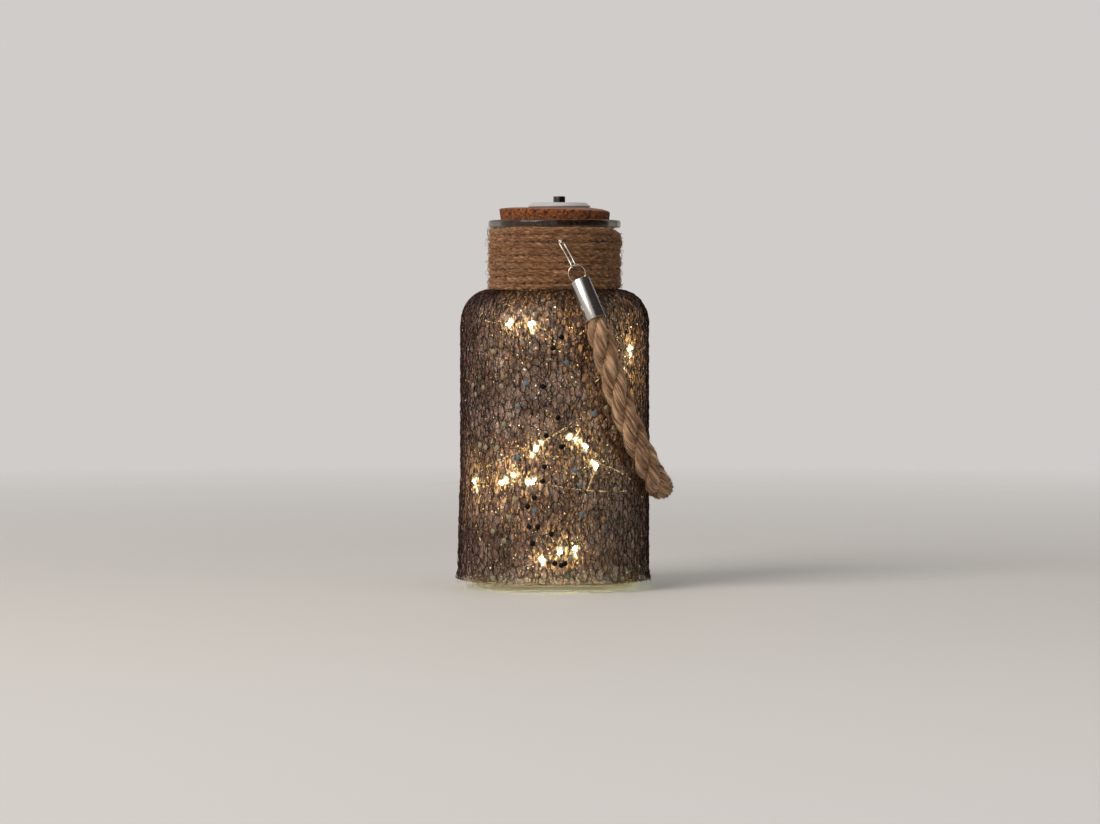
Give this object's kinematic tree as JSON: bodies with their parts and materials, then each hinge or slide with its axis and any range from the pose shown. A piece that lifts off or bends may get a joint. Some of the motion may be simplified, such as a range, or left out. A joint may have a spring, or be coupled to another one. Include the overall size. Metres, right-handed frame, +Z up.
{
  "type": "led jar light",
  "caption": "Glass storage jar of fairy lights with a net sleeve, twine-wound neck, cork stopper holding a switched light module, and a rope handle on a wire collar.",
  "frame": {"origin": "middle of the base, on the surface that the jar stands on", "axes": "+Z up along the jar's axis; the handle's studs lie along Y and the handle hangs to +X"},
  "size_m": [0.1198, 0.1252, 0.2195],
  "materials": {
    "clear_glass": "smooth, very slight green tint",
    "copper_net": "crackled open net of dark copper-brown thread with sequins",
    "jute_twine": "hairy natural twine",
    "jute_rope": "three-strand hairy natural rope",
    "steel_wire": "bright drawn wire",
    "polished_steel": "polished tube",
    "cork": "fine-grained agglomerated cork",
    "white_plastic": "satin moulded",
    "black_plastic": "glossy moulded",
    "dark_plastic": "matt moulded",
    "green_board": "solder-masked board",
    "cell_steel": "nickel-plated can",
    "contact_metal": "spring metal",
    "rubber": "matt",
    "light_string": "lacquered fine wire with clear resin lights that glow warm white"
  },
  "bodies": {
    "jar": {"glass_jar": "clear_glass", "mesh_sleeve": "copper_net", "neck_winding": "jute_twine", "collar_wire": "steel_wire"},
    "handle": {"hook_front": "steel_wire", "hook_rear": "steel_wire", "ring_front": "steel_wire", "ring_rear": "steel_wire", "ferrule_front": "polished_steel", "ferrule_rear": "polished_steel", "eye_front": "steel_wire", "eye_rear": "steel_wire", "handle_rope": "jute_rope"},
    "stopper": {"cork_stopper": "cork", "led_housing": "white_plastic", "switch_body": "dark_plastic", "circuit_board": "green_board", "battery_holder": "dark_plastic", "coin_cell_lower": "cell_steel", "coin_cell_upper": "cell_steel", "contact_positive": "contact_metal", "contact_negative": "contact_metal", "battery_cover": "white_plastic", "cover_screw_left": "steel_wire", "cover_screw_right": "steel_wire", "lead_grommet": "rubber", "led_string": "light_string"},
    "button": {"push_button": "black_plastic"}
  },
  "joints": [
    {"name": "handle_swing", "type": "hinge", "parent": "jar", "child": "handle", "pos_m": [0, 0, 0.19345], "axis": [0, -1, 0], "range_deg": [0, 313]},
    {"name": "stopper_lift", "type": "slide", "parent": "jar", "child": "stopper", "axis": [0, 0, 1], "range_m": [0, 0.03], "deforming": ["led_string"]},
    {"name": "button_press", "type": "slide", "parent": "stopper", "child": "button", "axis": [0, 0, -1], "range_m": [0, 0.0015], "stiffness_N_per_m": 600}
  ]
}
